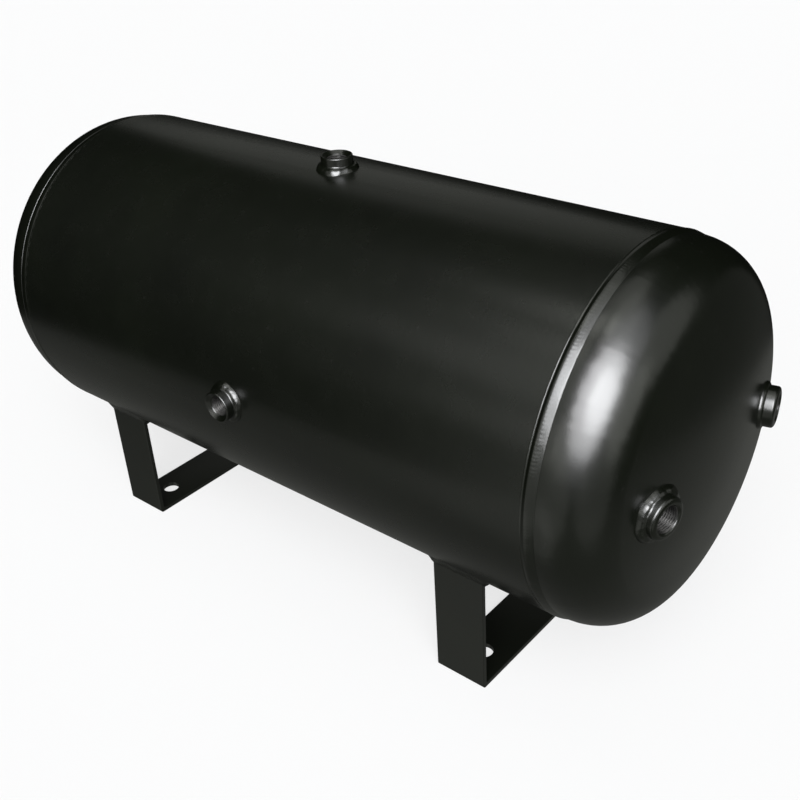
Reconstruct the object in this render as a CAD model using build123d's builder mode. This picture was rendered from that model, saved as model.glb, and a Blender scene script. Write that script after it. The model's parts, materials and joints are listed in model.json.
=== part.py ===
"""Horizontal air receiver tank: a rolled shell, two dished heads, eight threaded ports and two strap feet.

Frame: +X along the tank's axis, +Z up, origin on the floor under the middle of the tank.
The front of the tank faces -Y. All sizes are in millimetres.
"""
from build123d import *
import os
from math import asin, cos, degrees, pi, radians, sin, sqrt

# ---------------------------------------------------------------- driving dimensions
SHELL_OD = 228.6            # 9 in tube, rolled from sheet
WALL = 2.5                  # sheet of the shell and of the heads
SHELL_LENGTH = 423.5        # between the two girth welds
AXIS_HEIGHT = 171.5         # the tank's axis above the floor

GIRTH_GAP = 8.0             # from the shell's end to the head's full diameter
GIRTH_CROWN = 0.8           # how far a girth weld stands above its two edges
HEAD_OD = 226.2
CROWN_RADIUS = 305.0        # outer dish radius of a head
KNUCKLE_RADIUS = 36.0       # outer corner radius of a head
JOGGLE = 2.0                # length of the step from the head to its inner flange
FLANGE_LAP = 14.0           # how far the flange reaches inside the shell
SLIP = 0.15                 # radial slip of the flange in the shell

SEAM_ANGLE = -20.0          # the rolled sheet closes on the rear side, below the horizontal
SEAM_GAP = 1.6
SEAM_CAP = 5.0              # width of the seam weld's cap
SEAM_CROWN = 0.6            # height of the cap above the shell

PORT_X = -3.0               # the four shell ports share one plane near the middle
PORT_DEPTH = 4.0            # how far a bung reaches inside the tank
RIM_CHAMFER = 0.8
WELD_BULGE = 0.4            # how far a port weld's face bulges beyond a straight slope

SHELL_PORT_OD = 20.2        # bung for a 1/4 in pipe thread
SHELL_PORT_TAP = 11.1
SHELL_PORT_MOUTH = 13.7
SHELL_PORT_RISE = 8.6       # above the shell
SHELL_WELD_OD = 27.6
SHELL_WELD_RISE = 3.6

END_PORT_OD = 24.6          # bung for a 3/8 in pipe thread
END_PORT_TAP = 14.7
END_PORT_MOUTH = 17.1
END_PORT_RISE = 8.2         # above the head, along the port's own axis
END_PORT_OFFSET = 64.0      # from the tank's axis to where the port meets the head
END_WELD_OD = 34.0
END_WELD_RISE = 4.4

STRAP_WIDTH = 36.5          # the feet are bent from flat bar
STRAP_THICKNESS = 3.2
STRAP_BEND_INSIDE = 0.8     # the bar is pressed to tight corners
STRAP_BEND_OUTSIDE = 2.4
STRAP_EDGE = 0.4            # rounding of the bar's edges
FOOT_SPREAD = 156.5         # over the outer faces of the two legs
FEET = {"foot_right": 143.5, "foot_left": -170.5}
BOLT_SPACING = 106.0        # across the tank
BOLT_HOLE = 12.6
FOOT_WELD_LEG = 4.0         # down the leg and along the shell
FOOT_WELD_FLARE = 3.0       # how far the weld spreads beyond the leg at the shell

# ---------------------------------------------------------------- worked out from them
SHELL_R = SHELL_OD / 2
SHELL_END = SHELL_LENGTH / 2
HEAD_R = HEAD_OD / 2
HEAD_START = SHELL_END + GIRTH_GAP
FLANGE_R = SHELL_R - WALL - SLIP
KNUCKLE_CENTRE_R = HEAD_R - KNUCKLE_RADIUS
DISH_CENTRE = HEAD_START - sqrt((CROWN_RADIUS - KNUCKLE_RADIUS) ** 2 - KNUCKLE_CENTRE_R**2)
CROWN_HALF_ANGLE = asin(KNUCKLE_CENTRE_R / (CROWN_RADIUS - KNUCKLE_RADIUS))
KNUCKLE_MID_ANGLE = (CROWN_HALF_ANGLE + pi / 2) / 2
END_PORT_TILT = asin(END_PORT_OFFSET / CROWN_RADIUS)
LEG_TOP = AXIS_HEIGHT - sqrt(SHELL_R**2 - (FOOT_SPREAD / 2) ** 2)
TANK_AXIS = Axis((0, 0, AXIS_HEIGHT), (1, 0, 0))

os.makedirs("parts", exist_ok=True)


def save(part, name):
    """Label a finished sub-part and write it as its own STEP file."""
    part.label = name
    export_step(part, f"parts/{name}.step")


# ---------------------------------------------------------------- points of the head's half section
def axial(x, r):
    """A point x along the tank and r out from its axis."""
    return (x, AXIS_HEIGHT + r)


def dish_point(radius, angle):
    """A point of the dish, at an angle from the tank's axis seen from the dish centre."""
    return axial(DISH_CENTRE + radius * cos(angle), radius * sin(angle))


def knuckle_point(radius, angle):
    """A point of the knuckle, at an angle from the tank's axis seen from the knuckle centre."""
    return axial(HEAD_START + radius * cos(angle), KNUCKLE_CENTRE_R + radius * sin(angle))


def dish_to_knuckle(inset):
    """The head's curve from its middle to its full diameter, set in from the outer face."""
    crown = CROWN_RADIUS - inset
    knuckle = KNUCKLE_RADIUS - inset
    ThreePointArc(
        dish_point(crown, 0), dish_point(crown, CROWN_HALF_ANGLE / 2), dish_point(crown, CROWN_HALF_ANGLE)
    )
    ThreePointArc(
        dish_point(crown, CROWN_HALF_ANGLE),
        knuckle_point(knuckle, KNUCKLE_MID_ANGLE),
        axial(HEAD_START, HEAD_R - inset),
    )


# ---------------------------------------------------------------- where the ports stand
def shell_port_plane(outward):
    """On the shell's outer face, looking out along the port."""
    foot = Vector(PORT_X, 0, AXIS_HEIGHT) + Vector(*outward) * SHELL_R
    return Plane(origin=foot, x_dir=(1, 0, 0), z_dir=outward)


def end_port_plane(side):
    """On the right head's outer face, looking out along the port; side is -1 in front, 1 at the rear."""
    foot = (DISH_CENTRE + CROWN_RADIUS * cos(END_PORT_TILT), side * END_PORT_OFFSET, AXIS_HEIGHT)
    outward = (cos(END_PORT_TILT), side * sin(END_PORT_TILT), 0)
    return Plane(origin=foot, x_dir=(0, 0, 1), z_dir=outward)


SHELL_PORTS = {
    "top": shell_port_plane((0, 0, 1)),
    "front": shell_port_plane((0, -1, 0)),
    "rear": shell_port_plane((0, 1, 0)),
    "bottom": shell_port_plane((0, 0, -1)),
}
END_PORTS = {"front": end_port_plane(-1), "rear": end_port_plane(1)}


def half_section(plane):
    """The plane that a port's half section is drawn on: X out from its axis, Y along it."""
    return Plane(origin=plane.origin, x_dir=plane.x_dir, z_dir=-plane.y_dir)


# ---------------------------------------------------------------- shell and its seam
def make_shell():
    """Rolled sheet with an open butt gap for the seam and a hole for each shell port."""
    angle = radians(SEAM_ANGLE)
    with BuildPart() as shell:
        with BuildSketch(Plane.YZ.offset(-SHELL_END)):
            with Locations((0, AXIS_HEIGHT)):
                Circle(SHELL_R)
                Circle(SHELL_R - WALL, mode=Mode.SUBTRACT)
            with Locations((SHELL_R * cos(angle), AXIS_HEIGHT + SHELL_R * sin(angle))):
                Rectangle(4 * WALL, SEAM_GAP, rotation=SEAM_ANGLE, mode=Mode.SUBTRACT)
        extrude(amount=SHELL_LENGTH)
        for plane in SHELL_PORTS.values():
            with BuildSketch(plane.offset(-2 * WALL)):
                Circle(SHELL_PORT_OD / 2)
            extrude(amount=3 * WALL, mode=Mode.SUBTRACT)
    save(shell.part, "shell")


def make_seam_weld():
    """The weld that closes the rolled sheet: it fills the gap and has a low cap outside."""
    angle = radians(SEAM_ANGLE)
    outward = Vector(0, cos(angle), sin(angle))
    foot = Vector(-SHELL_END, 0, AXIS_HEIGHT) + outward * SHELL_R
    section = Plane(origin=foot, x_dir=outward.cross(Vector(1, 0, 0)), z_dir=(1, 0, 0))
    rim = SHELL_R - sqrt(SHELL_R**2 - (SEAM_CAP / 2) ** 2)
    with BuildPart() as seam:
        with BuildSketch(section):
            with BuildLine():
                cap = ThreePointArc((-SEAM_CAP / 2, -rim), (0, SEAM_CROWN), (SEAM_CAP / 2, -rim))
                Polyline(cap @ 1, (SEAM_CAP / 2, -WALL), (-SEAM_CAP / 2, -WALL), cap @ 0)
            make_face()
        extrude(amount=SHELL_LENGTH)
        with BuildSketch(Plane.YZ.offset(-SHELL_END)):
            with Locations((0, AXIS_HEIGHT)):
                Circle(SHELL_R)
            with Locations((SHELL_R * cos(angle), AXIS_HEIGHT + SHELL_R * sin(angle))):
                Rectangle(2 * WALL, SEAM_GAP, rotation=SEAM_ANGLE, mode=Mode.SUBTRACT)
        extrude(amount=SHELL_LENGTH, mode=Mode.SUBTRACT)
    save(seam.part, "shell_seam_weld")


# ---------------------------------------------------------------- heads and girth welds
def make_heads():
    """Two dished heads with an offset flange that slips inside the shell, and two port holes each."""
    flange_end = SHELL_END - FLANGE_LAP
    with BuildPart() as head_right:
        with BuildSketch(Plane.XZ):
            with BuildLine():
                dish_to_knuckle(0)
                Polyline(
                    axial(HEAD_START, HEAD_R),
                    axial(HEAD_START - JOGGLE, FLANGE_R),
                    axial(flange_end, FLANGE_R),
                    axial(flange_end, FLANGE_R - WALL),
                    axial(HEAD_START - JOGGLE, FLANGE_R - WALL),
                    axial(HEAD_START, HEAD_R - WALL),
                )
                dish_to_knuckle(WALL)
                Line(dish_point(CROWN_RADIUS, 0), dish_point(CROWN_RADIUS - WALL, 0))
            make_face()
        revolve(axis=TANK_AXIS)
        for plane in END_PORTS.values():
            with BuildSketch(plane.offset(-2 * WALL)):
                Circle(END_PORT_OD / 2)
            extrude(amount=3 * WALL, mode=Mode.SUBTRACT)
    with BuildPart() as head_left:
        mirror(head_right.part, about=Plane.YZ)
    save(head_right.part, "head_right")
    save(head_left.part, "head_left")


def make_girth_welds():
    """The weld bead that fills the step between the shell's end and each head."""
    with BuildPart() as girth_right:
        with BuildSketch(Plane.XZ):
            with BuildLine():
                bead = ThreePointArc(
                    axial(SHELL_END, SHELL_R),
                    axial(SHELL_END + GIRTH_GAP / 2, (SHELL_R + HEAD_R) / 2 + GIRTH_CROWN),
                    axial(HEAD_START, HEAD_R),
                )
                Polyline(bead @ 1, axial(HEAD_START - JOGGLE, FLANGE_R), axial(SHELL_END, FLANGE_R), bead @ 0)
            make_face()
        revolve(axis=TANK_AXIS)
    with BuildPart() as girth_left:
        mirror(girth_right.part, about=Plane.YZ)
    save(girth_right.part, "girth_weld_right")
    save(girth_left.part, "girth_weld_left")


# ---------------------------------------------------------------- outer shapes that others are cut to
def make_shell_bulk():
    """The shell's outer shape as one solid."""
    with BuildPart() as bulk:
        with BuildSketch(Plane.YZ.offset(-SHELL_END)):
            with Locations((0, AXIS_HEIGHT)):
                Circle(SHELL_R)
        extrude(amount=SHELL_LENGTH)
    return bulk.part


def make_head_bulk():
    """The right head's outer shape as one solid."""
    with BuildPart() as bulk:
        with BuildSketch(Plane.XZ):
            with BuildLine():
                dish_to_knuckle(0)
                Polyline(axial(HEAD_START, HEAD_R), axial(HEAD_START, 0), dish_point(CROWN_RADIUS, 0))
            make_face()
        revolve(axis=TANK_AXIS)
    return bulk.part


# ---------------------------------------------------------------- ports and their welds
def make_bung(plane, od, tap, mouth, rise):
    """A short tube through the wall, bevelled at its rim inside and out."""
    lead_in = (mouth - tap) / 2
    with BuildPart() as bung:
        with BuildSketch(half_section(plane)):
            with BuildLine():
                Polyline(
                    (tap / 2, -WALL - PORT_DEPTH),
                    (od / 2, -WALL - PORT_DEPTH),
                    (od / 2, rise - RIM_CHAMFER),
                    (od / 2 - RIM_CHAMFER, rise),
                    (mouth / 2, rise),
                    (tap / 2, rise - lead_in),
                    close=True,
                )
            make_face()
        revolve(axis=Axis(plane.origin, plane.z_dir))
    return bung.part


def make_ring_weld(plane, bung_od, weld_od, rise, wall_radius, wall):
    """The fillet weld round a bung, standing on the outer face of the wall."""
    inner = bung_od / 2
    outer = weld_od / 2
    drop = wall_radius - sqrt(wall_radius**2 - outer**2)
    slope_mid = ((inner + outer) / 2 + WELD_BULGE, (rise - drop) / 2 + WELD_BULGE)
    with BuildPart() as ring:
        with BuildSketch(half_section(plane)):
            with BuildLine():
                face = ThreePointArc((inner, rise), slope_mid, (outer, -drop))
                Polyline(face @ 1, (outer, -WALL), (inner, -WALL), face @ 0)
            make_face()
        revolve(axis=Axis(plane.origin, plane.z_dir))
        add(wall, mode=Mode.SUBTRACT)
    return ring.part


def make_shell_ports(shell_bulk):
    """Four bungs round the middle of the shell, each in its own ring of weld."""
    for name, plane in SHELL_PORTS.items():
        bung = make_bung(plane, SHELL_PORT_OD, SHELL_PORT_TAP, SHELL_PORT_MOUTH, SHELL_PORT_RISE)
        ring = make_ring_weld(plane, SHELL_PORT_OD, SHELL_WELD_OD, SHELL_WELD_RISE, SHELL_R, shell_bulk)
        save(bung, f"port_{name}")
        save(ring, f"port_{name}_weld")


def make_end_ports(head_bulk):
    """Two bungs in each head, square to its dish, each in its own ring of weld."""
    for name, plane in END_PORTS.items():
        bung = make_bung(plane, END_PORT_OD, END_PORT_TAP, END_PORT_MOUTH, END_PORT_RISE)
        ring = make_ring_weld(plane, END_PORT_OD, END_WELD_OD, END_WELD_RISE, CROWN_RADIUS, head_bulk)
        with BuildPart() as left_bung:
            mirror(bung, about=Plane.YZ)
        with BuildPart() as left_ring:
            mirror(ring, about=Plane.YZ)
        save(bung, f"port_right_{name}")
        save(ring, f"port_right_{name}_weld")
        save(left_bung.part, f"port_left_{name}")
        save(left_ring.part, f"port_left_{name}_weld")


# ---------------------------------------------------------------- strap feet and their welds
def make_foot(x, shell_bulk):
    """A flat bar bent to a U, its legs cut to the shell's curve, with a bolt hole near each leg."""
    half = FOOT_SPREAD / 2
    inner = half - STRAP_THICKNESS
    top = AXIS_HEIGHT
    with BuildPart() as foot:
        with BuildSketch(Plane.YZ.offset(x - STRAP_WIDTH / 2)):
            with BuildLine():
                outside = FilletPolyline(
                    (-half, top), (-half, 0), (half, 0), (half, top), radius=STRAP_BEND_OUTSIDE
                )
                inside = FilletPolyline(
                    (-inner, top), (-inner, STRAP_THICKNESS), (inner, STRAP_THICKNESS), (inner, top),
                    radius=STRAP_BEND_INSIDE,
                )
                Line(outside @ 0, inside @ 0)
                Line(outside @ 1, inside @ 1)
            make_face()
        extrude(amount=STRAP_WIDTH)
        sides = foot.faces().sort_by(Axis.X)
        fillet(sides[0].edges() + sides[-1].edges(), radius=STRAP_EDGE)
        add(shell_bulk, mode=Mode.SUBTRACT)
        with Locations((x, -BOLT_SPACING / 2, STRAP_THICKNESS), (x, BOLT_SPACING / 2, STRAP_THICKNESS)):
            Hole(radius=BOLT_HOLE / 2, depth=STRAP_THICKNESS)
    return foot.part


def make_foot_weld(x, side, foot, shell_bulk):
    """The fillet weld round the top of one leg, spreading out to the shell."""
    leg_y = side * (FOOT_SPREAD - STRAP_THICKNESS) / 2
    with BuildPart() as weld:
        with BuildSketch(Plane.XY.offset(LEG_TOP - FOOT_WELD_LEG)):
            with Locations((x, leg_y)):
                Rectangle(STRAP_WIDTH, STRAP_THICKNESS)
        with BuildSketch(Plane.XY.offset(LEG_TOP + FOOT_WELD_FLARE)):
            with Locations((x, leg_y)):
                Rectangle(STRAP_WIDTH + 2 * FOOT_WELD_FLARE, STRAP_THICKNESS + 2 * FOOT_WELD_FLARE)
        loft()
        add(shell_bulk, mode=Mode.SUBTRACT)
        add(foot, mode=Mode.SUBTRACT)
    return weld.part


def make_feet(shell_bulk):
    """Two strap feet, each welded to the shell at the top of both legs."""
    for name, x in FEET.items():
        foot = make_foot(x, shell_bulk)
        save(foot, name)
        save(make_foot_weld(x, -1, foot, shell_bulk), f"{name}_weld_front")
        save(make_foot_weld(x, 1, foot, shell_bulk), f"{name}_weld_rear")


shell_solid = make_shell_bulk()
make_shell()
make_seam_weld()
make_heads()
make_girth_welds()
make_shell_ports(shell_solid)
make_end_ports(make_head_bulk())
make_feet(shell_solid)
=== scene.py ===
"""The looks of the horizontal air receiver tank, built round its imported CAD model.

The shell, heads and strap feet are the CAD nodes with painted-steel materials. The bungs get real
pipe threads, and every weld is remade as a rippled bead. Profiles are in millimetres and are turned
into metres as each mesh is made. Everything is in the CAD frame.
"""

import json
from math import cos, pi, radians, sin

import bpy
import numpy as np
from mathutils import Matrix, Vector, noise


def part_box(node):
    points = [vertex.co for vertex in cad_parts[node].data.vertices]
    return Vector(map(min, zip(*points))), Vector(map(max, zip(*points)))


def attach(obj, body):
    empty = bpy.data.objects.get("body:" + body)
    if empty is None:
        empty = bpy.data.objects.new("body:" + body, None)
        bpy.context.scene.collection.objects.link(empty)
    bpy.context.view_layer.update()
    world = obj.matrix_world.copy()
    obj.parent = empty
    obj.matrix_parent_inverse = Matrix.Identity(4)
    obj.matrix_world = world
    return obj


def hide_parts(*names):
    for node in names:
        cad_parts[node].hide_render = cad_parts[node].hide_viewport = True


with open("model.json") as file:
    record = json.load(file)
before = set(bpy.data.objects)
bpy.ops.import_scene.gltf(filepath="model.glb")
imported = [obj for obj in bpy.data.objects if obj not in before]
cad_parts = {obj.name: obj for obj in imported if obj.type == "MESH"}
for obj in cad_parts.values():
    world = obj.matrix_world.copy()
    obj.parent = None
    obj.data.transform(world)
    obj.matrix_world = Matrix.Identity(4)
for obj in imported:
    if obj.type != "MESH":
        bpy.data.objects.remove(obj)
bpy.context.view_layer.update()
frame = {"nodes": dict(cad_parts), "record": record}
scene = bpy.context.scene
MM = 0.001

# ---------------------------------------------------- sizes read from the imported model, in mm
shell_low, shell_high = (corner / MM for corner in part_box("shell"))
SHELL_R = (shell_high.z - shell_low.z) / 2
SHELL_END = shell_high.x
AXIS_Z = (shell_high.z + shell_low.z) / 2
MOUNTS = {mount["name"]: mount for mount in frame["record"]["mounts"]}

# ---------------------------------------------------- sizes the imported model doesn't state, in mm
CROWN_RADIUS = 305.0        # outer dish radius of a head
SHELL_RISE = 8.6            # a shell port's rim above the shell
END_RISE = 8.2              # an end port's rim above the head
SHELL_MOUTH = 13.7
END_MOUTH = 17.1
SHELL_WELD_RISE = 3.6
END_WELD_RISE = 4.4
THREAD_PITCH = 25.4 / 18    # pipe thread, 18 to the inch
RIPPLE = 2.1                # from one weld ripple to the next
STEPS = 6                   # mesh steps along one ripple
# A bung's rim: its rounded edge's width and drop, and the depth of its countersink.
SHELL_RIM = (0.8, 0.8, 1.5)
END_RIM = (3.3, 1.9, 0.3)
RIM_STEPS = 8               # mesh steps round that edge
BORE_SHADE_DEPTH = 11.0           # below the rim, the bore is bare steel down to here; deeper, it takes the black paint as painted shade for the dark far end of the bore
BUNG_STEPS = 120            # mesh steps round a bung
THREAD_STEPS = 10           # mesh steps down one thread
THREAD_SHARP = 38           # degrees; a bung's edges over this are sharp


# ---------------------------------------------------- mesh helpers
def lumps(points, size, seed):
    """Smooth noise of about -1 to 1 at each point, with lumps about size across."""
    shift = Vector((17.3 * seed, 5.9 * seed, 11.1 * seed))
    flat = np.asarray(points, float).reshape(-1, 3) / size
    values = np.array([noise.noise(Vector(p) + shift) for p in flat])
    return values.reshape(np.shape(points)[:-1])


def scallops(phase):
    """Weld ripples: rounded tops with sharp valleys, from 0 to 1."""
    return np.abs(np.sin(pi * phase))


def sweep_faces(n, m, closed):
    """Quads of n sections of m points each. Sections are loops; the path closes too if closed."""
    i, j = np.meshgrid(np.arange(n if closed else n - 1), np.arange(m), indexing="ij")
    after, across = (i + 1) % n, (j + 1) % m
    quads = np.stack([i * m + j, after * m + j, after * m + across, i * m + across], axis=-1)
    faces = quads.reshape(-1, 4).tolist()
    if not closed:
        faces.append(list(range(m)))
        faces.append([(n - 1) * m + k for k in reversed(range(m))])
    return faces


def add_piece(name, sections, closed, materials, node, pick=None, sharp=None):
    """A watertight piece from an array of sections (n, m, 3) in mm, in place of a CAD node.

    pick gives each of the m strips its material, and edges over sharp degrees stay sharp."""
    n, m = sections.shape[:2]
    points = sections.reshape(-1, 3)
    faces = sweep_faces(n, m, closed)
    centre = points.mean(axis=0)
    mesh = bpy.data.meshes.new(name)
    mesh.from_pydata((points * MM).tolist(), [], faces)
    mesh.update()
    tris = np.array([p.vertices[:3] for p in mesh.polygons])
    a, b, c = (points[tris[:, k]] - centre for k in range(3))
    if float(np.einsum("ij,ij->", a, np.cross(b, c))) < 0:
        mesh.flip_normals()
    mesh.polygons.foreach_set("use_smooth", [True] * len(mesh.polygons))
    for material in materials:
        mesh.materials.append(material)
    if pick is not None:
        index = np.zeros(len(mesh.polygons), np.int32)
        index[: n * m] = np.tile(np.asarray(pick, np.int32), n)
        mesh.polygons.foreach_set("material_index", index)
    if sharp is not None:
        mesh.set_sharp_from_angle(angle=radians(sharp))
    piece = bpy.data.objects.new(name, mesh)
    scene.collection.objects.link(piece)
    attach(piece, "root")
    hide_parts(node)


# ---------------------------------------------------- materials
def new_material(name):
    """An empty node material: its tree, its Principled shader and object coordinates in metres."""
    material = bpy.data.materials.new(name)
    material.use_nodes = True
    tree = material.node_tree
    tree.nodes.clear()
    out = tree.nodes.new("ShaderNodeOutputMaterial")
    shader = tree.nodes.new("ShaderNodeBsdfPrincipled")
    tree.links.new(shader.outputs["BSDF"], out.inputs["Surface"])
    coords = tree.nodes.new("ShaderNodeTexCoord")
    return material, tree, shader, coords.outputs["Object"]


def noise_node(tree, coords, scale, detail):
    """A noise texture's value; scale is features per metre."""
    node = tree.nodes.new("ShaderNodeTexNoise")
    node.inputs["Scale"].default_value = scale
    node.inputs["Detail"].default_value = detail
    tree.links.new(coords, node.inputs["Vector"])
    return node.outputs["Fac"]


def spread(tree, value, low, high, start=0.3, stop=0.7):
    """A value mapped from start..stop to low..high."""
    node = tree.nodes.new("ShaderNodeMapRange")
    node.inputs["From Min"].default_value = start
    node.inputs["From Max"].default_value = stop
    node.inputs["To Min"].default_value = low
    node.inputs["To Max"].default_value = high
    tree.links.new(value, node.inputs["Value"])
    return node.outputs["Result"]


def blend_colours(tree, factor, first, second):
    """A colour between two; each is an RGBA tuple or a socket."""
    node = tree.nodes.new("ShaderNodeMix")
    node.data_type = "RGBA"
    tree.links.new(factor, node.inputs["Factor"])
    for socket, colour in ((node.inputs["A"], first), (node.inputs["B"], second)):
        if isinstance(colour, tuple):
            socket.default_value = colour
        else:
            tree.links.new(colour, socket)
    return node.outputs["Result"]


def bump(tree, height, distance, normal=None):
    """A bump node on top of another; distance is in metres."""
    node = tree.nodes.new("ShaderNodeBump")
    node.inputs["Distance"].default_value = distance
    node.inputs["Strength"].default_value = 1.0
    tree.links.new(height, node.inputs["Height"])
    if normal is not None:
        tree.links.new(normal, node.inputs["Normal"])
    return node.outputs["Normal"]


# Noise scales, in features per metre.
CLOUDS, SHEEN, FILM, ORANGE_PEEL, SPECKS, GRAIN, SCRATCHES = 14, 60, 160, 330, 520, 900, 1500
PAINT = (0.0010, 0.0013, 0.0007)
PAINT_DEEP = tuple(0.75 * c for c in PAINT) + (1.0,)
PAINT_PALE = tuple(1.3 * c for c in PAINT) + (1.0,)
DUST = (0.008, 0.008, 0.0075, 1.0)
DUST_SHARE = 0.3
SHEEN_SWING = 0.008         # how far the roughness varies each way
STEEL_DARK = (0.012, 0.012, 0.0115, 1.0)
STEEL_LIGHT = (0.035, 0.034, 0.0325, 1.0)


def satin_paint(name, roughness, peel, grain=0.00002):
    """Black satin paint: orange peel and a fine grain (heights in m), uneven sheen and dust."""
    material, tree, shader, coords = new_material(name)
    cloud = noise_node(tree, coords, CLOUDS, 4)
    fine = noise_node(tree, coords, GRAIN, 2)
    base = blend_colours(tree, spread(tree, cloud, 0, 1), PAINT_DEEP, PAINT_PALE)
    specks = noise_node(tree, coords, SPECKS, 0)
    dusty = blend_colours(tree, spread(tree, specks, 0, DUST_SHARE, 0.80, 0.86), base, DUST)
    tree.links.new(dusty, shader.inputs["Base Color"])
    uneven = noise_node(tree, coords, SHEEN, 5)
    rough = spread(tree, uneven, roughness - SHEEN_SWING, roughness + SHEEN_SWING)
    tree.links.new(rough, shader.inputs["Roughness"])
    orange = noise_node(tree, coords, ORANGE_PEEL, 2)
    normal = bump(tree, orange, peel)
    normal = bump(tree, fine, grain, normal)
    tree.links.new(normal, shader.inputs["Normal"])
    shader.inputs["IOR"].default_value = 1.5
    return material


def bare_steel(name):
    """Tapped steel in a bung's bore: dull metal with fine scratches under a dark film of oil."""
    material, tree, shader, coords = new_material(name)
    film = noise_node(tree, coords, FILM, 4)
    colour = blend_colours(tree, spread(tree, film, 0, 1), STEEL_DARK, STEEL_LIGHT)
    tree.links.new(colour, shader.inputs["Base Color"])
    shader.inputs["Metallic"].default_value = 0.8
    tree.links.new(spread(tree, film, 0.38, 0.55), shader.inputs["Roughness"])
    scratches = noise_node(tree, coords, SCRATCHES, 2)
    tree.links.new(bump(tree, scratches, 0.00003), shader.inputs["Normal"])
    return material


shell_paint = satin_paint("shell_satin_black", roughness=0.27, peel=0.000014)
head_paint = satin_paint("head_satin_black", roughness=0.25, peel=0.000012)
weld_paint = satin_paint("weld_satin_black", roughness=0.24, peel=0.00002)
port_paint = satin_paint("port_satin_black", roughness=0.24, peel=0.00001, grain=0.00001)
foot_paint = satin_paint("foot_satin_black", roughness=0.30, peel=0.00002)
thread_steel = bare_steel("tapped_steel")


def dress(node, material):
    """A CAD node keeps its shape and gets a finish."""
    piece = frame["nodes"][node]
    piece.data.materials.clear()
    piece.data.materials.append(material)


JOIN_WITHIN = 1e-6          # metres
HEAD_SHARP = 35             # degrees
dress("shell", shell_paint)
for node in ("head_right", "head_left"):
    dress(node, head_paint)
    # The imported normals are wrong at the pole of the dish, where they draw a dark dash. These work
    # the normals out again, and leave the CAD object's own vertices as they are.
    head = frame["nodes"][node]
    head.modifiers.new("join", "WELD").merge_threshold = JOIN_WITHIN
    head.modifiers.new("edges", "EDGE_SPLIT").split_angle = radians(HEAD_SHARP)
    head.modifiers.new("even_normals", "WEIGHTED_NORMAL").keep_sharp = True
for node in ("foot_right", "foot_left"):
    dress(node, foot_paint)


# ---------------------------------------------------- girth welds
# Across the bead: mm from the shell's end, and mm above the shell. The shell's rounded edge stands
# over a narrow groove; the bead then rises to its crown and runs down to an undercut at the head.
GIRTH_FACE = [
    (-0.80, -0.25), (-0.60, -0.06), (-0.36, 0.00), (-0.10, -0.02), (0.15, -0.10), (0.42, -0.20),
    (0.75, -0.20), (1.15, -0.06), (1.70, 0.12), (2.30, 0.22), (2.80, 0.22), (3.40, 0.12),
    (4.20, -0.11), (5.00, -0.37), (5.90, -0.67), (6.80, -0.98), (7.35, -1.18), (7.75, -1.36),
    (8.15, -1.42),
]
GIRTH_ROOT = [(8.15, -2.40), (-0.80, -2.40)]
GIRTH_MIDDLE = 3.8          # the bead's middle, from the shell's end
GIRTH_HALF = 3.6            # its half width
GIRTH_TOE = 5.0             # the toe at the head starts here, and wanders over the next 2.4 mm
GIRTH_RIPPLE = 0.035        # ripple height
GIRTH_SWELL = 0.06          # how far its crown rises and falls
GIRTH_WANDER = 0.3          # how far its toe wanders sideways


def girth_bead(name, node, seed, proud):
    """The rippled bead between the shell and a head. proud scales its height above the shell."""
    side = 1 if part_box(node)[0].x > 0 else -1
    count = round(2 * pi * SHELL_R / RIPPLE)
    n = count * STEPS
    turn = np.arange(n) * 2 * pi / n
    profile = np.array(GIRTH_FACE + GIRTH_ROOT)
    profile[:, 1] = np.where(profile[:, 1] > 0, proud * profile[:, 1], profile[:, 1])
    along, above = (np.repeat(profile[None, :, k], n, axis=0) for k in (0, 1))
    ring = np.stack([np.zeros(n), SHELL_R * np.cos(turn), SHELL_R * np.sin(turn)], axis=-1)
    wander = lumps(ring, 9.0, seed)[:, None]
    swell = lumps(ring, 5.0, seed + 3)[:, None]
    bell = np.clip(1 - ((along - GIRTH_MIDDLE) / GIRTH_HALF) ** 2, 0, None)
    chevron = 1.1 * ((along - GIRTH_MIDDLE) / 4) ** 2
    uneven = 1 + 0.5 * lumps(ring, 1.7, seed + 5)[:, None]
    ripple = scallops(turn[:, None] * count / (2 * pi) + chevron + 0.25 * swell)
    toe = np.clip((along - GIRTH_TOE) / 2.4, 0, 1) * (along < 8)
    groove = (along > 0.3) & (along < 1.3)
    above = above + bell * (GIRTH_RIPPLE * uneven * (ripple - 0.6) + GIRTH_SWELL * swell)
    along = along + GIRTH_WANDER * wander * (toe - 0.5 * groove)
    radius = SHELL_R + above
    x = side * (SHELL_END + along)
    sections = np.stack(
        [x, radius * np.cos(turn)[:, None], AXIS_Z + radius * np.sin(turn)[:, None]], axis=-1
    )
    add_piece(name, sections, True, [weld_paint], node)


girth_bead("girth_bead_right", "girth_weld_right", 1, 1.0)
girth_bead("girth_bead_left", "girth_weld_left", 2, 0.3)


# ---------------------------------------------------- seam weld
SEAM_HALF = 2.5             # half width
SEAM_HEIGHT = 0.62
SEAM_ROOT = -1.4            # how deep the bead is sunk in the shell
SEAM_FADE = 6.0             # it fades over this length at each end
# Across the face of the bead, as shares of the half width.
SEAM_FACE = [-1.12, -0.95, -0.72, -0.4, 0.0, 0.4, 0.72, 0.95, 1.12]


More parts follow.
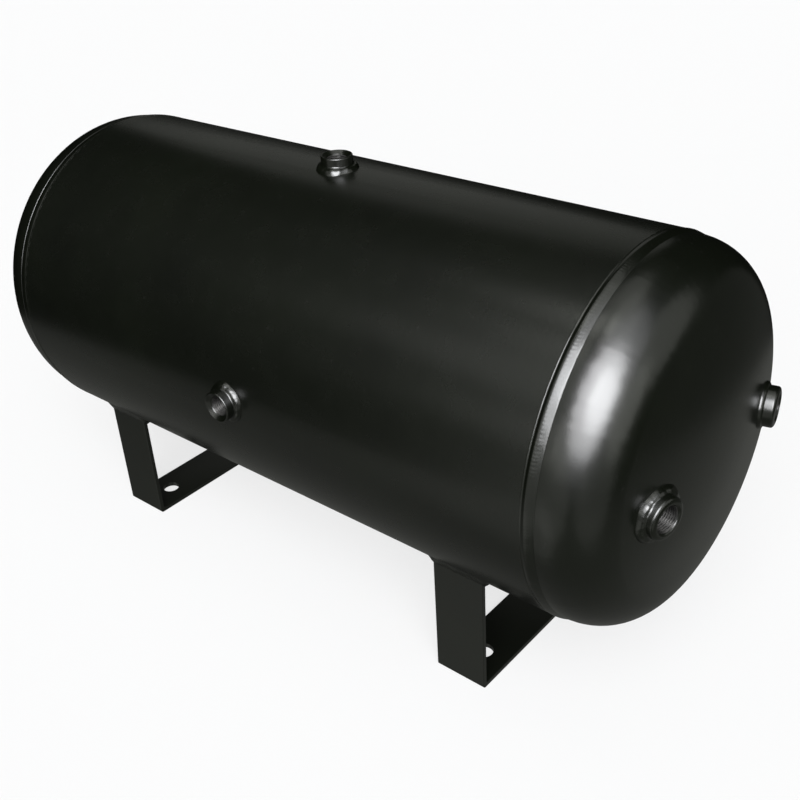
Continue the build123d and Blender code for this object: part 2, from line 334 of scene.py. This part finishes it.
def seam_bead(name, node, seed):
    """The low bead along the shell's seam, fading out under each girth bead."""
    low, high = (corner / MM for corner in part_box(node))
    outward = Vector((0, (low.y + high.y) / 2, (low.z + high.z) / 2 - AXIS_Z)).normalized()
    sideways = Vector((0, -outward.z, outward.y))
    count = round(2 * SHELL_END / RIPPLE)
    n = count * STEPS + 1
    x = np.linspace(-SHELL_END, SHELL_END, n)
    across = np.array(SEAM_FACE) * SEAM_HALF
    face = SEAM_HEIGHT * (1 - (across / SEAM_HALF) ** 2)
    across = np.append(across, [SEAM_HALF, -SEAM_HALF])
    base = np.append(np.where(face > 0, face, -0.25), [SEAM_ROOT, SEAM_ROOT])
    line = np.stack([x, np.zeros(n), np.zeros(n)], axis=-1)
    wander = 0.35 * lumps(line, 8.0, seed)[:, None]
    swell = lumps(line, 4.0, seed + 3)[:, None]
    fade = np.clip((SHELL_END - np.abs(x)) / SEAM_FADE, 0, 1)[:, None]
    bell = np.clip(1 - (across / SEAM_HALF) ** 2, 0, None)[None, :]
    ripple = scallops(x[:, None] / RIPPLE + 0.9 * (across / SEAM_HALF) ** 2)
    uneven = 0.12 * (ripple - 0.5) + 0.1 * swell
    rise = base[None, :] * (0.25 + 0.75 * fade) + bell * fade * uneven
    s = across[None, :] + wander
    height = np.sqrt(SHELL_R**2 - s**2) + rise
    y = outward.y * height + sideways.y * s
    z = AXIS_Z + outward.z * height + sideways.z * s
    sections = np.stack([np.repeat(x[:, None], len(across), axis=1), y, z], axis=-1)
    add_piece(name, sections, False, [weld_paint], node)


seam_bead("seam_bead", "shell_seam_weld", 4)


# ---------------------------------------------------- ports
class Port:
    """Where a port stands and how large it is, in mm, from its mount and its CAD boxes."""

    def __init__(self, name, mount, mouth, rise, weld_rise, wall_height):
        self.name, self.rise, self.weld_rise, self.wall_height = name, rise, weld_rise, wall_height
        self.out = Vector(mount["axis"]).normalized()
        self.tap = mount["dims"]["r_mm"]
        self.mouth = mouth / 2
        half = mount["dims"]["length_mm"] / 2
        top = Vector(mount["pos_m"]) / MM + self.out * (half + self.mouth - self.tap)
        self.foot = top - self.out * rise
        self.depth = 2 * half + self.mouth - self.tap - rise
        self.across = Vector((0, 0, 1)) if abs(self.out.x) > 0.5 else Vector((1, 0, 0))
        self.up = self.out.cross(self.across)
        self.bung_r = self.half_width(f"port_{name}")
        self.weld_r = self.half_width(f"port_{name}_weld")

    def half_width(self, node):
        low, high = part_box(node)
        return abs((high - low).dot(self.across)) / 2 / MM

    def place(self, r, turn, height):
        """Points at a radius, an angle and a height in the port's own frame."""
        a, b = r * np.cos(turn), r * np.sin(turn)
        return (
            np.array(self.foot)
            + a[..., None] * np.array(self.across)
            + b[..., None] * np.array(self.up)
            + height[..., None] * np.array(self.out)
        )


def on_shell(a, b):
    """The shell's height at b (round it) from a port's foot; a (along the tank) is not used."""
    return np.sqrt(SHELL_R**2 - b**2) - SHELL_R


def on_head(a, b):
    """The dish's height at a and b from a port's foot."""
    return np.sqrt(CROWN_RADIUS**2 - a**2 - b**2) - CROWN_RADIUS


def bung(port, rim):
    """A threaded bung: rounded edge, a countersink and a real V thread down its bore."""
    turn = np.arange(BUNG_STEPS) * 2 * pi / BUNG_STEPS
    r, top = port.bung_r, port.rise
    inset, drop, sink = rim
    lip = top - sink
    outer = [(r, -port.depth), (r, -1.0)]
    for k in range(RIM_STEPS + 1):
        angle = k / RIM_STEPS * pi / 2
        outer.append((r - inset * (1 - cos(angle)), top - drop * (1 - sin(angle))))
    shoulder, edge = r - inset, port.mouth + 0.08
    outer += [
        (shoulder - 0.10, top - 0.02), (shoulder - 0.22, top - 0.10),
        (edge + 0.3 * (shoulder - port.mouth), lip + 0.3 * sink), (edge, lip),
    ]
    bore_top = lip - 0.12
    count = int((bore_top + port.depth) / THREAD_PITCH * THREAD_STEPS)
    bore_z = np.linspace(bore_top, -port.depth, count + 1)
    z = np.append([p[1] for p in outer], bore_z)
    radius = np.tile(np.append([p[0] for p in outer], bore_z * 0), (BUNG_STEPS, 1))
    lead = turn[:, None] / (2 * pi)
    tooth = 1 - np.abs(2 * ((bore_z[None, :] / THREAD_PITCH - lead) % 1) - 1)
    depth = 0.75 * min(port.mouth - port.tap, 1.0)
    thread = port.tap + depth * np.clip(1.25 * tooth - 0.125, 0, 1)
    cone = port.mouth - (lip - bore_z)[None, :]
    radius[:, len(outer):] = np.maximum(thread, cone)
    height = np.tile(z, (BUNG_STEPS, 1))
    sections = port.place(radius, turn[:, None], height)
    # Bore rows deeper than the shade depth take the black port paint instead of steel: painted shade
    # down the bore.
    bare = (bore_z < bore_top - 0.5) & (bore_z > top - BORE_SHADE_DEPTH)
    add_piece(
        f"bung_{port.name}", sections, True, [port_paint, thread_steel],
        f"port_{port.name}", np.append([False] * len(outer), bare), THREAD_SHARP,
    )


# Down the face of a port weld: share of the way out, and share of the height.
RING_FACE = [
    (0.00, 1.00), (0.05, 0.90), (0.12, 0.81), (0.21, 0.74), (0.32, 0.70), (0.45, 0.66),
    (0.58, 0.60), (0.70, 0.50), (0.80, 0.37), (0.89, 0.22), (0.96, 0.06), (1.00, -0.06),
]
# How each port's weld differs: how much of its width and height it has, how far it sits off centre,
# in mm, and the direction of that, in degrees round the port.
WELD_SHARE = {"right_front": (0.88, 1.0), "right_rear": (0.42, 0.55)}
WELD_SHIFT = {"right_front": (1.9, 225.0)}


def weld_ring(port, seed):
    """The fillet weld round a bung: uneven legs, faint ripples and a few soft lumps."""
    middle = (port.bung_r + port.weld_r) / 2
    count = round(2 * pi * middle / RIPPLE)
    n = count * STEPS
    turn = (np.arange(n) * 2 * pi / n)[:, None]
    s, share = (np.array(RING_FACE)[None, :, k] for k in (0, 1))
    circle = port.place(np.full((n, 1), middle), turn, np.zeros((n, 1)))[:, 0, :]
    wander = lumps(circle, 7.0, seed)[:, None]
    swell = lumps(circle, 3.4, seed + 1)[:, None]
    wide, tall = WELD_SHARE.get(port.name, (1.0, 1.0))
    shift, bearing = WELD_SHIFT.get(port.name, (0.0, 0.0))
    inner = port.bung_r - 0.25
    outer = port.bung_r + wide * (port.weld_r - port.bung_r + 0.2 + 0.9 * wander)
    outer = outer + shift * np.cos(turn - radians(bearing))
    top = tall * (port.weld_rise + 0.3 + 0.5 * wander)
    r = inner + (outer - inner) * s
    a, b = outer * np.cos(turn), outer * np.sin(turn)
    toe = port.wall_height(a, b) - 0.25
    h = toe + (top - toe) * share
    chevron = 0.9 * (2 * s - 1) ** 2
    ripple = scallops(turn * count / (2 * pi) + chevron + 0.4 * wander) - 0.5
    points = port.place(r, turn + 0 * s, h)
    soft = lumps(points, 4.2, seed + 2) + 0.22 * lumps(points, 1.8, seed + 3)
    out = wide * np.sin(pi * s) * (0.22 * swell + 0.035 * ripple + 0.32 * soft)
    slope = np.hypot(outer - inner, top - toe)
    r = r + out * (top - toe) / slope
    h = h + out * (outer - inner) / slope
    root_r = np.concatenate([outer - 0.6, inner + 0 * turn], axis=1)
    root_h = np.concatenate([toe - 1.0, -1.6 + 0 * turn], axis=1)
    r, h = np.concatenate([r, root_r], axis=1), np.concatenate([h, root_h], axis=1)
    sections = port.place(r, turn + 0 * r, h)
    add_piece(
        f"weld_ring_{port.name}", sections, True, [weld_paint],
        f"port_{port.name}_weld",
    )


SHELL_PORT = (SHELL_MOUTH, SHELL_RISE, SHELL_WELD_RISE, on_shell)
END_PORT = (END_MOUTH, END_RISE, END_WELD_RISE, on_head)
seed = 10
for names, kind, rim in (
    (("top", "front", "rear", "bottom"), SHELL_PORT, SHELL_RIM),
    (("right_front", "right_rear", "left_front", "left_rear"), END_PORT, END_RIM),
):
    for name in names:
        port = Port(name, MOUNTS[f"{name}_port"], *kind)
        bung(port, rim)
        weld_ring(port, seed)
        seed += 5


# ---------------------------------------------------- foot welds
FOOT_WELD_LEG = 4.2         # down the strap
FOOT_WELD_FLARE = 3.4       # out along the shell
STRAP = 3.2                 # the strap's thickness
STRAP_CORNER = 0.8
FOOT_WELD_FACE = 10         # mesh steps across the bead


def foot_bead(foot, end, seed):
    """The fillet round the top of one leg of a strap foot."""
    low, high = (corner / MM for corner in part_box(foot))
    side = -1 if end == "front" else 1
    leg_y = high.y - STRAP / 2 if side > 0 else low.y + STRAP / 2
    half_x, half_y = (high.x - low.x) / 2, STRAP / 2
    outline = []
    for quarter, (cx, cy) in enumerate(((1, 1), (-1, 1), (-1, -1), (1, -1))):
        for k in range(5):
            angle = (quarter + k / 4) * pi / 2
            outline.append(
                (
                    cx * (half_x - STRAP_CORNER) + STRAP_CORNER * cos(angle),
                    cy * (half_y - STRAP_CORNER) + STRAP_CORNER * sin(angle),
                    cos(angle),
                    sin(angle),
                )
            )
    outline.append(outline[0])
    outline = np.array(outline)
    steps = np.hypot(*(outline[1:, :2] - outline[:-1, :2]).T)
    reach = np.append(0, np.cumsum(steps))
    count = round(reach[-1] / RIPPLE)
    n = count * STEPS
    at = np.arange(n) * reach[-1] / n
    x, y, nx, ny = (np.interp(at, reach, outline[:, k])[:, None] for k in range(4))
    length = np.hypot(nx, ny)
    nx, ny = nx / length, ny / length
    x, y = x + (low.x + high.x) / 2, y + leg_y
    s = np.linspace(0, 1, FOOT_WELD_FACE)[None, :]
    spine = np.concatenate([x, y, 0 * x], axis=1)
    wander = lumps(spine, 6.0, seed)[:, None]
    swell = lumps(spine, 3.0, seed + 1)[:, None]

    def shell_z(across):
        return AXIS_Z - np.sqrt(SHELL_R**2 - across**2)

    flare = FOOT_WELD_FLARE + 0.5 * wander
    leg_z = shell_z(y) - FOOT_WELD_LEG - 0.6 * swell
    far_x, far_y = x + nx * flare, y + ny * flare
    far_z = shell_z(far_y) + 0.25
    px = x - 0.25 * nx + (far_x - x + 0.25 * nx) * s
    py = y - 0.25 * ny + (far_y - y + 0.25 * ny) * s
    pz = leg_z + (far_z - leg_z) * s
    chevron = 0.8 * (2 * s - 1) ** 2
    ripple = scallops(at[:, None] * count / reach[-1] + chevron) - 0.5
    points = np.stack([px, py, pz], axis=-1)
    out = np.sin(pi * s) * (0.1 + 0.12 * ripple + 0.3 * lumps(points, 3.2, seed + 2))
    px, py, pz = px + 0.7 * out * nx, py + 0.7 * out * ny, pz - 0.7 * out
    px = np.concatenate([px, far_x - nx, x - nx], axis=1)
    py = np.concatenate([py, far_y - ny, y - ny], axis=1)
    pz = np.concatenate([pz, far_z + 1.2, shell_z(y) + 0.8], axis=1)
    add_piece(
        f"foot_bead_{foot[5:]}_{end}", np.stack([px, py, pz], axis=-1), True, [weld_paint],
        f"{foot}_weld_{end}",
    )


for foot in ("foot_right", "foot_left"):
    for end in ("front", "rear"):
        foot_bead(foot, end, seed)
        seed += 4


# ---------------------------------------------------- floor, light and camera
FLOOR_HALF = 30.0           # metres
FLOOR_COLOUR = (0.078, 0.078, 0.078, 1.0)
FLOOR_GLOW = 0.73
BACKGROUND = (0.97, 0.97, 0.97, 1.0)
LIGHT_COLOUR = (0.97, 0.98, 1.0)
FILL_COLOUR = (0.98, 1.0, 0.93)
# Name, azimuth and elevation that the light comes from, its angular width, and its strength.
# Azimuth 0 is +X and 90 is +Y.
# The angular widths make them act as soft boxes, and those below the horizon stand for the light
# that a pale floor sends back up.
SUNS = [
    ("key", -56.0, 36.0, 60.0, 8.20),
    ("key_core", -48.0, 36.0, 36.0, 3.55),
    ("key_high", -32.0, 54.0, 60.0, 1.55),
    ("key_left", -74.0, 52.0, 36.0, 0.90),
    ("left", -88.0, 18.0, 36.0, 0.31),
    ("right", -8.0, 12.0, 36.0, 0.46),
    ("far_right", 24.0, 24.0, 44.0, 0.34),
    ("shell_low", -108.0, 15.0, 26.0, 0.16),
    ("shell_middle", -120.0, 39.0, 26.0, 0.14),
    ("shell_high", -132.0, 56.0, 14.0, 0.096),
    ("shell_top", -158.0, 68.0, 14.0, 0.15),
    ("overhead_left", -108.0, 80.0, 14.0, 0.16),
    ("overhead_right", 0.0, 80.0, 34.0, 0.18),
    ("overhead_rear", 120.0, 78.0, 34.0, 0.23),
    ("back", 130.0, 24.0, 34.0, 0.06),
    ("bounce_left", -94.0, -14.0, 52.0, 0.27),
    ("bounce_right", -32.0, -14.0, 52.0, 0.20),
    ("bounce_front", -110.0, -36.0, 34.0, 0.07),
    ("bounce_end", 58.0, -20.0, 60.0, 0.042),
    ("bounce_below", 0.0, -90.0, 130.0, 0.36),
]
CAMERA_AT = (0.45154, -0.46880, 0.50164)
CAMERA_YAW = 0.7238         # radians, from looking along +Y towards -X
CAMERA_PITCH = 0.5356       # down
CAMERA_ROLL = -0.0607
CAMERA_LENS = 48.32         # mm on a 36 mm sensor

# The floor is flat, plain and far wider than the view. Its glow keeps the tank's shadow faint.
# Only the camera sees it: what lights the tank from below is the bounce suns above.
floor_material, _, floor_shader, _ = new_material("pale_floor")
floor_shader.inputs["Base Color"].default_value = FLOOR_COLOUR
floor_shader.inputs["Roughness"].default_value = 1.0
floor_shader.inputs["Specular IOR Level"].default_value = 0.0
floor_shader.inputs["Emission Color"].default_value = (1.0, 1.0, 1.0, 1.0)
floor_shader.inputs["Emission Strength"].default_value = FLOOR_GLOW
floor_material.cycles.emission_sampling = "NONE"
floor_mesh = bpy.data.meshes.new("floor")
signs = ((-1, -1), (1, -1), (1, 1), (-1, 1))
corners = [(x * FLOOR_HALF, y * FLOOR_HALF, 0) for x, y in signs]
floor_mesh.from_pydata(corners, [], [(0, 1, 2, 3)])
floor_mesh.materials.append(floor_material)
floor = bpy.data.objects.new("floor", floor_mesh)
scene.collection.objects.link(floor)
for ray in ("diffuse", "glossy", "transmission", "shadow"):
    setattr(floor, f"visible_{ray}", False)

for name, azimuth, elevation, width, strength in SUNS:
    light = bpy.data.lights.new(name, "SUN")
    light.angle = radians(width)
    light.energy = strength
    light.color = LIGHT_COLOUR if name.startswith("key") else FILL_COLOUR
    lamp = bpy.data.objects.new(name, light)
    scene.collection.objects.link(lamp)
    a, e = radians(azimuth), radians(elevation)
    source = Vector((cos(a) * cos(e), sin(a) * cos(e), sin(e)))
    lamp.rotation_mode = "QUATERNION"
    lamp.rotation_quaternion = source.to_track_quat("Z", "Y")
    lamp.location = source * 3

world = bpy.data.worlds.new("backdrop")
scene.world = world
world.use_nodes = True
world.node_tree.nodes["Background"].inputs["Color"].default_value = BACKGROUND
world.node_tree.nodes["Background"].inputs["Strength"].default_value = 1.0
for ray in ("diffuse", "glossy", "transmission", "scatter"):
    setattr(world.cycles_visibility, ray, False)
scene.view_settings.view_transform = "Standard"

camera_data = bpy.data.cameras.new("camera")
camera_data.sensor_width = 36.0
camera_data.lens = CAMERA_LENS
camera_data.clip_start = 0.01
camera_data.clip_end = 200.0
camera = bpy.data.objects.new("camera", camera_data)
scene.collection.objects.link(camera)
reach = cos(CAMERA_PITCH)
forward = Vector((-sin(CAMERA_YAW) * reach, cos(CAMERA_YAW) * reach, -sin(CAMERA_PITCH)))
level = Vector((cos(CAMERA_YAW), sin(CAMERA_YAW), 0))
upright = level.cross(forward)
right = cos(CAMERA_ROLL) * level + sin(CAMERA_ROLL) * upright
up = -sin(CAMERA_ROLL) * level + cos(CAMERA_ROLL) * upright
camera.matrix_world = Matrix(
    [(*(right[k], up[k], -forward[k]), CAMERA_AT[k]) for k in range(3)] + [(0, 0, 0, 1)]
)
scene.camera = camera
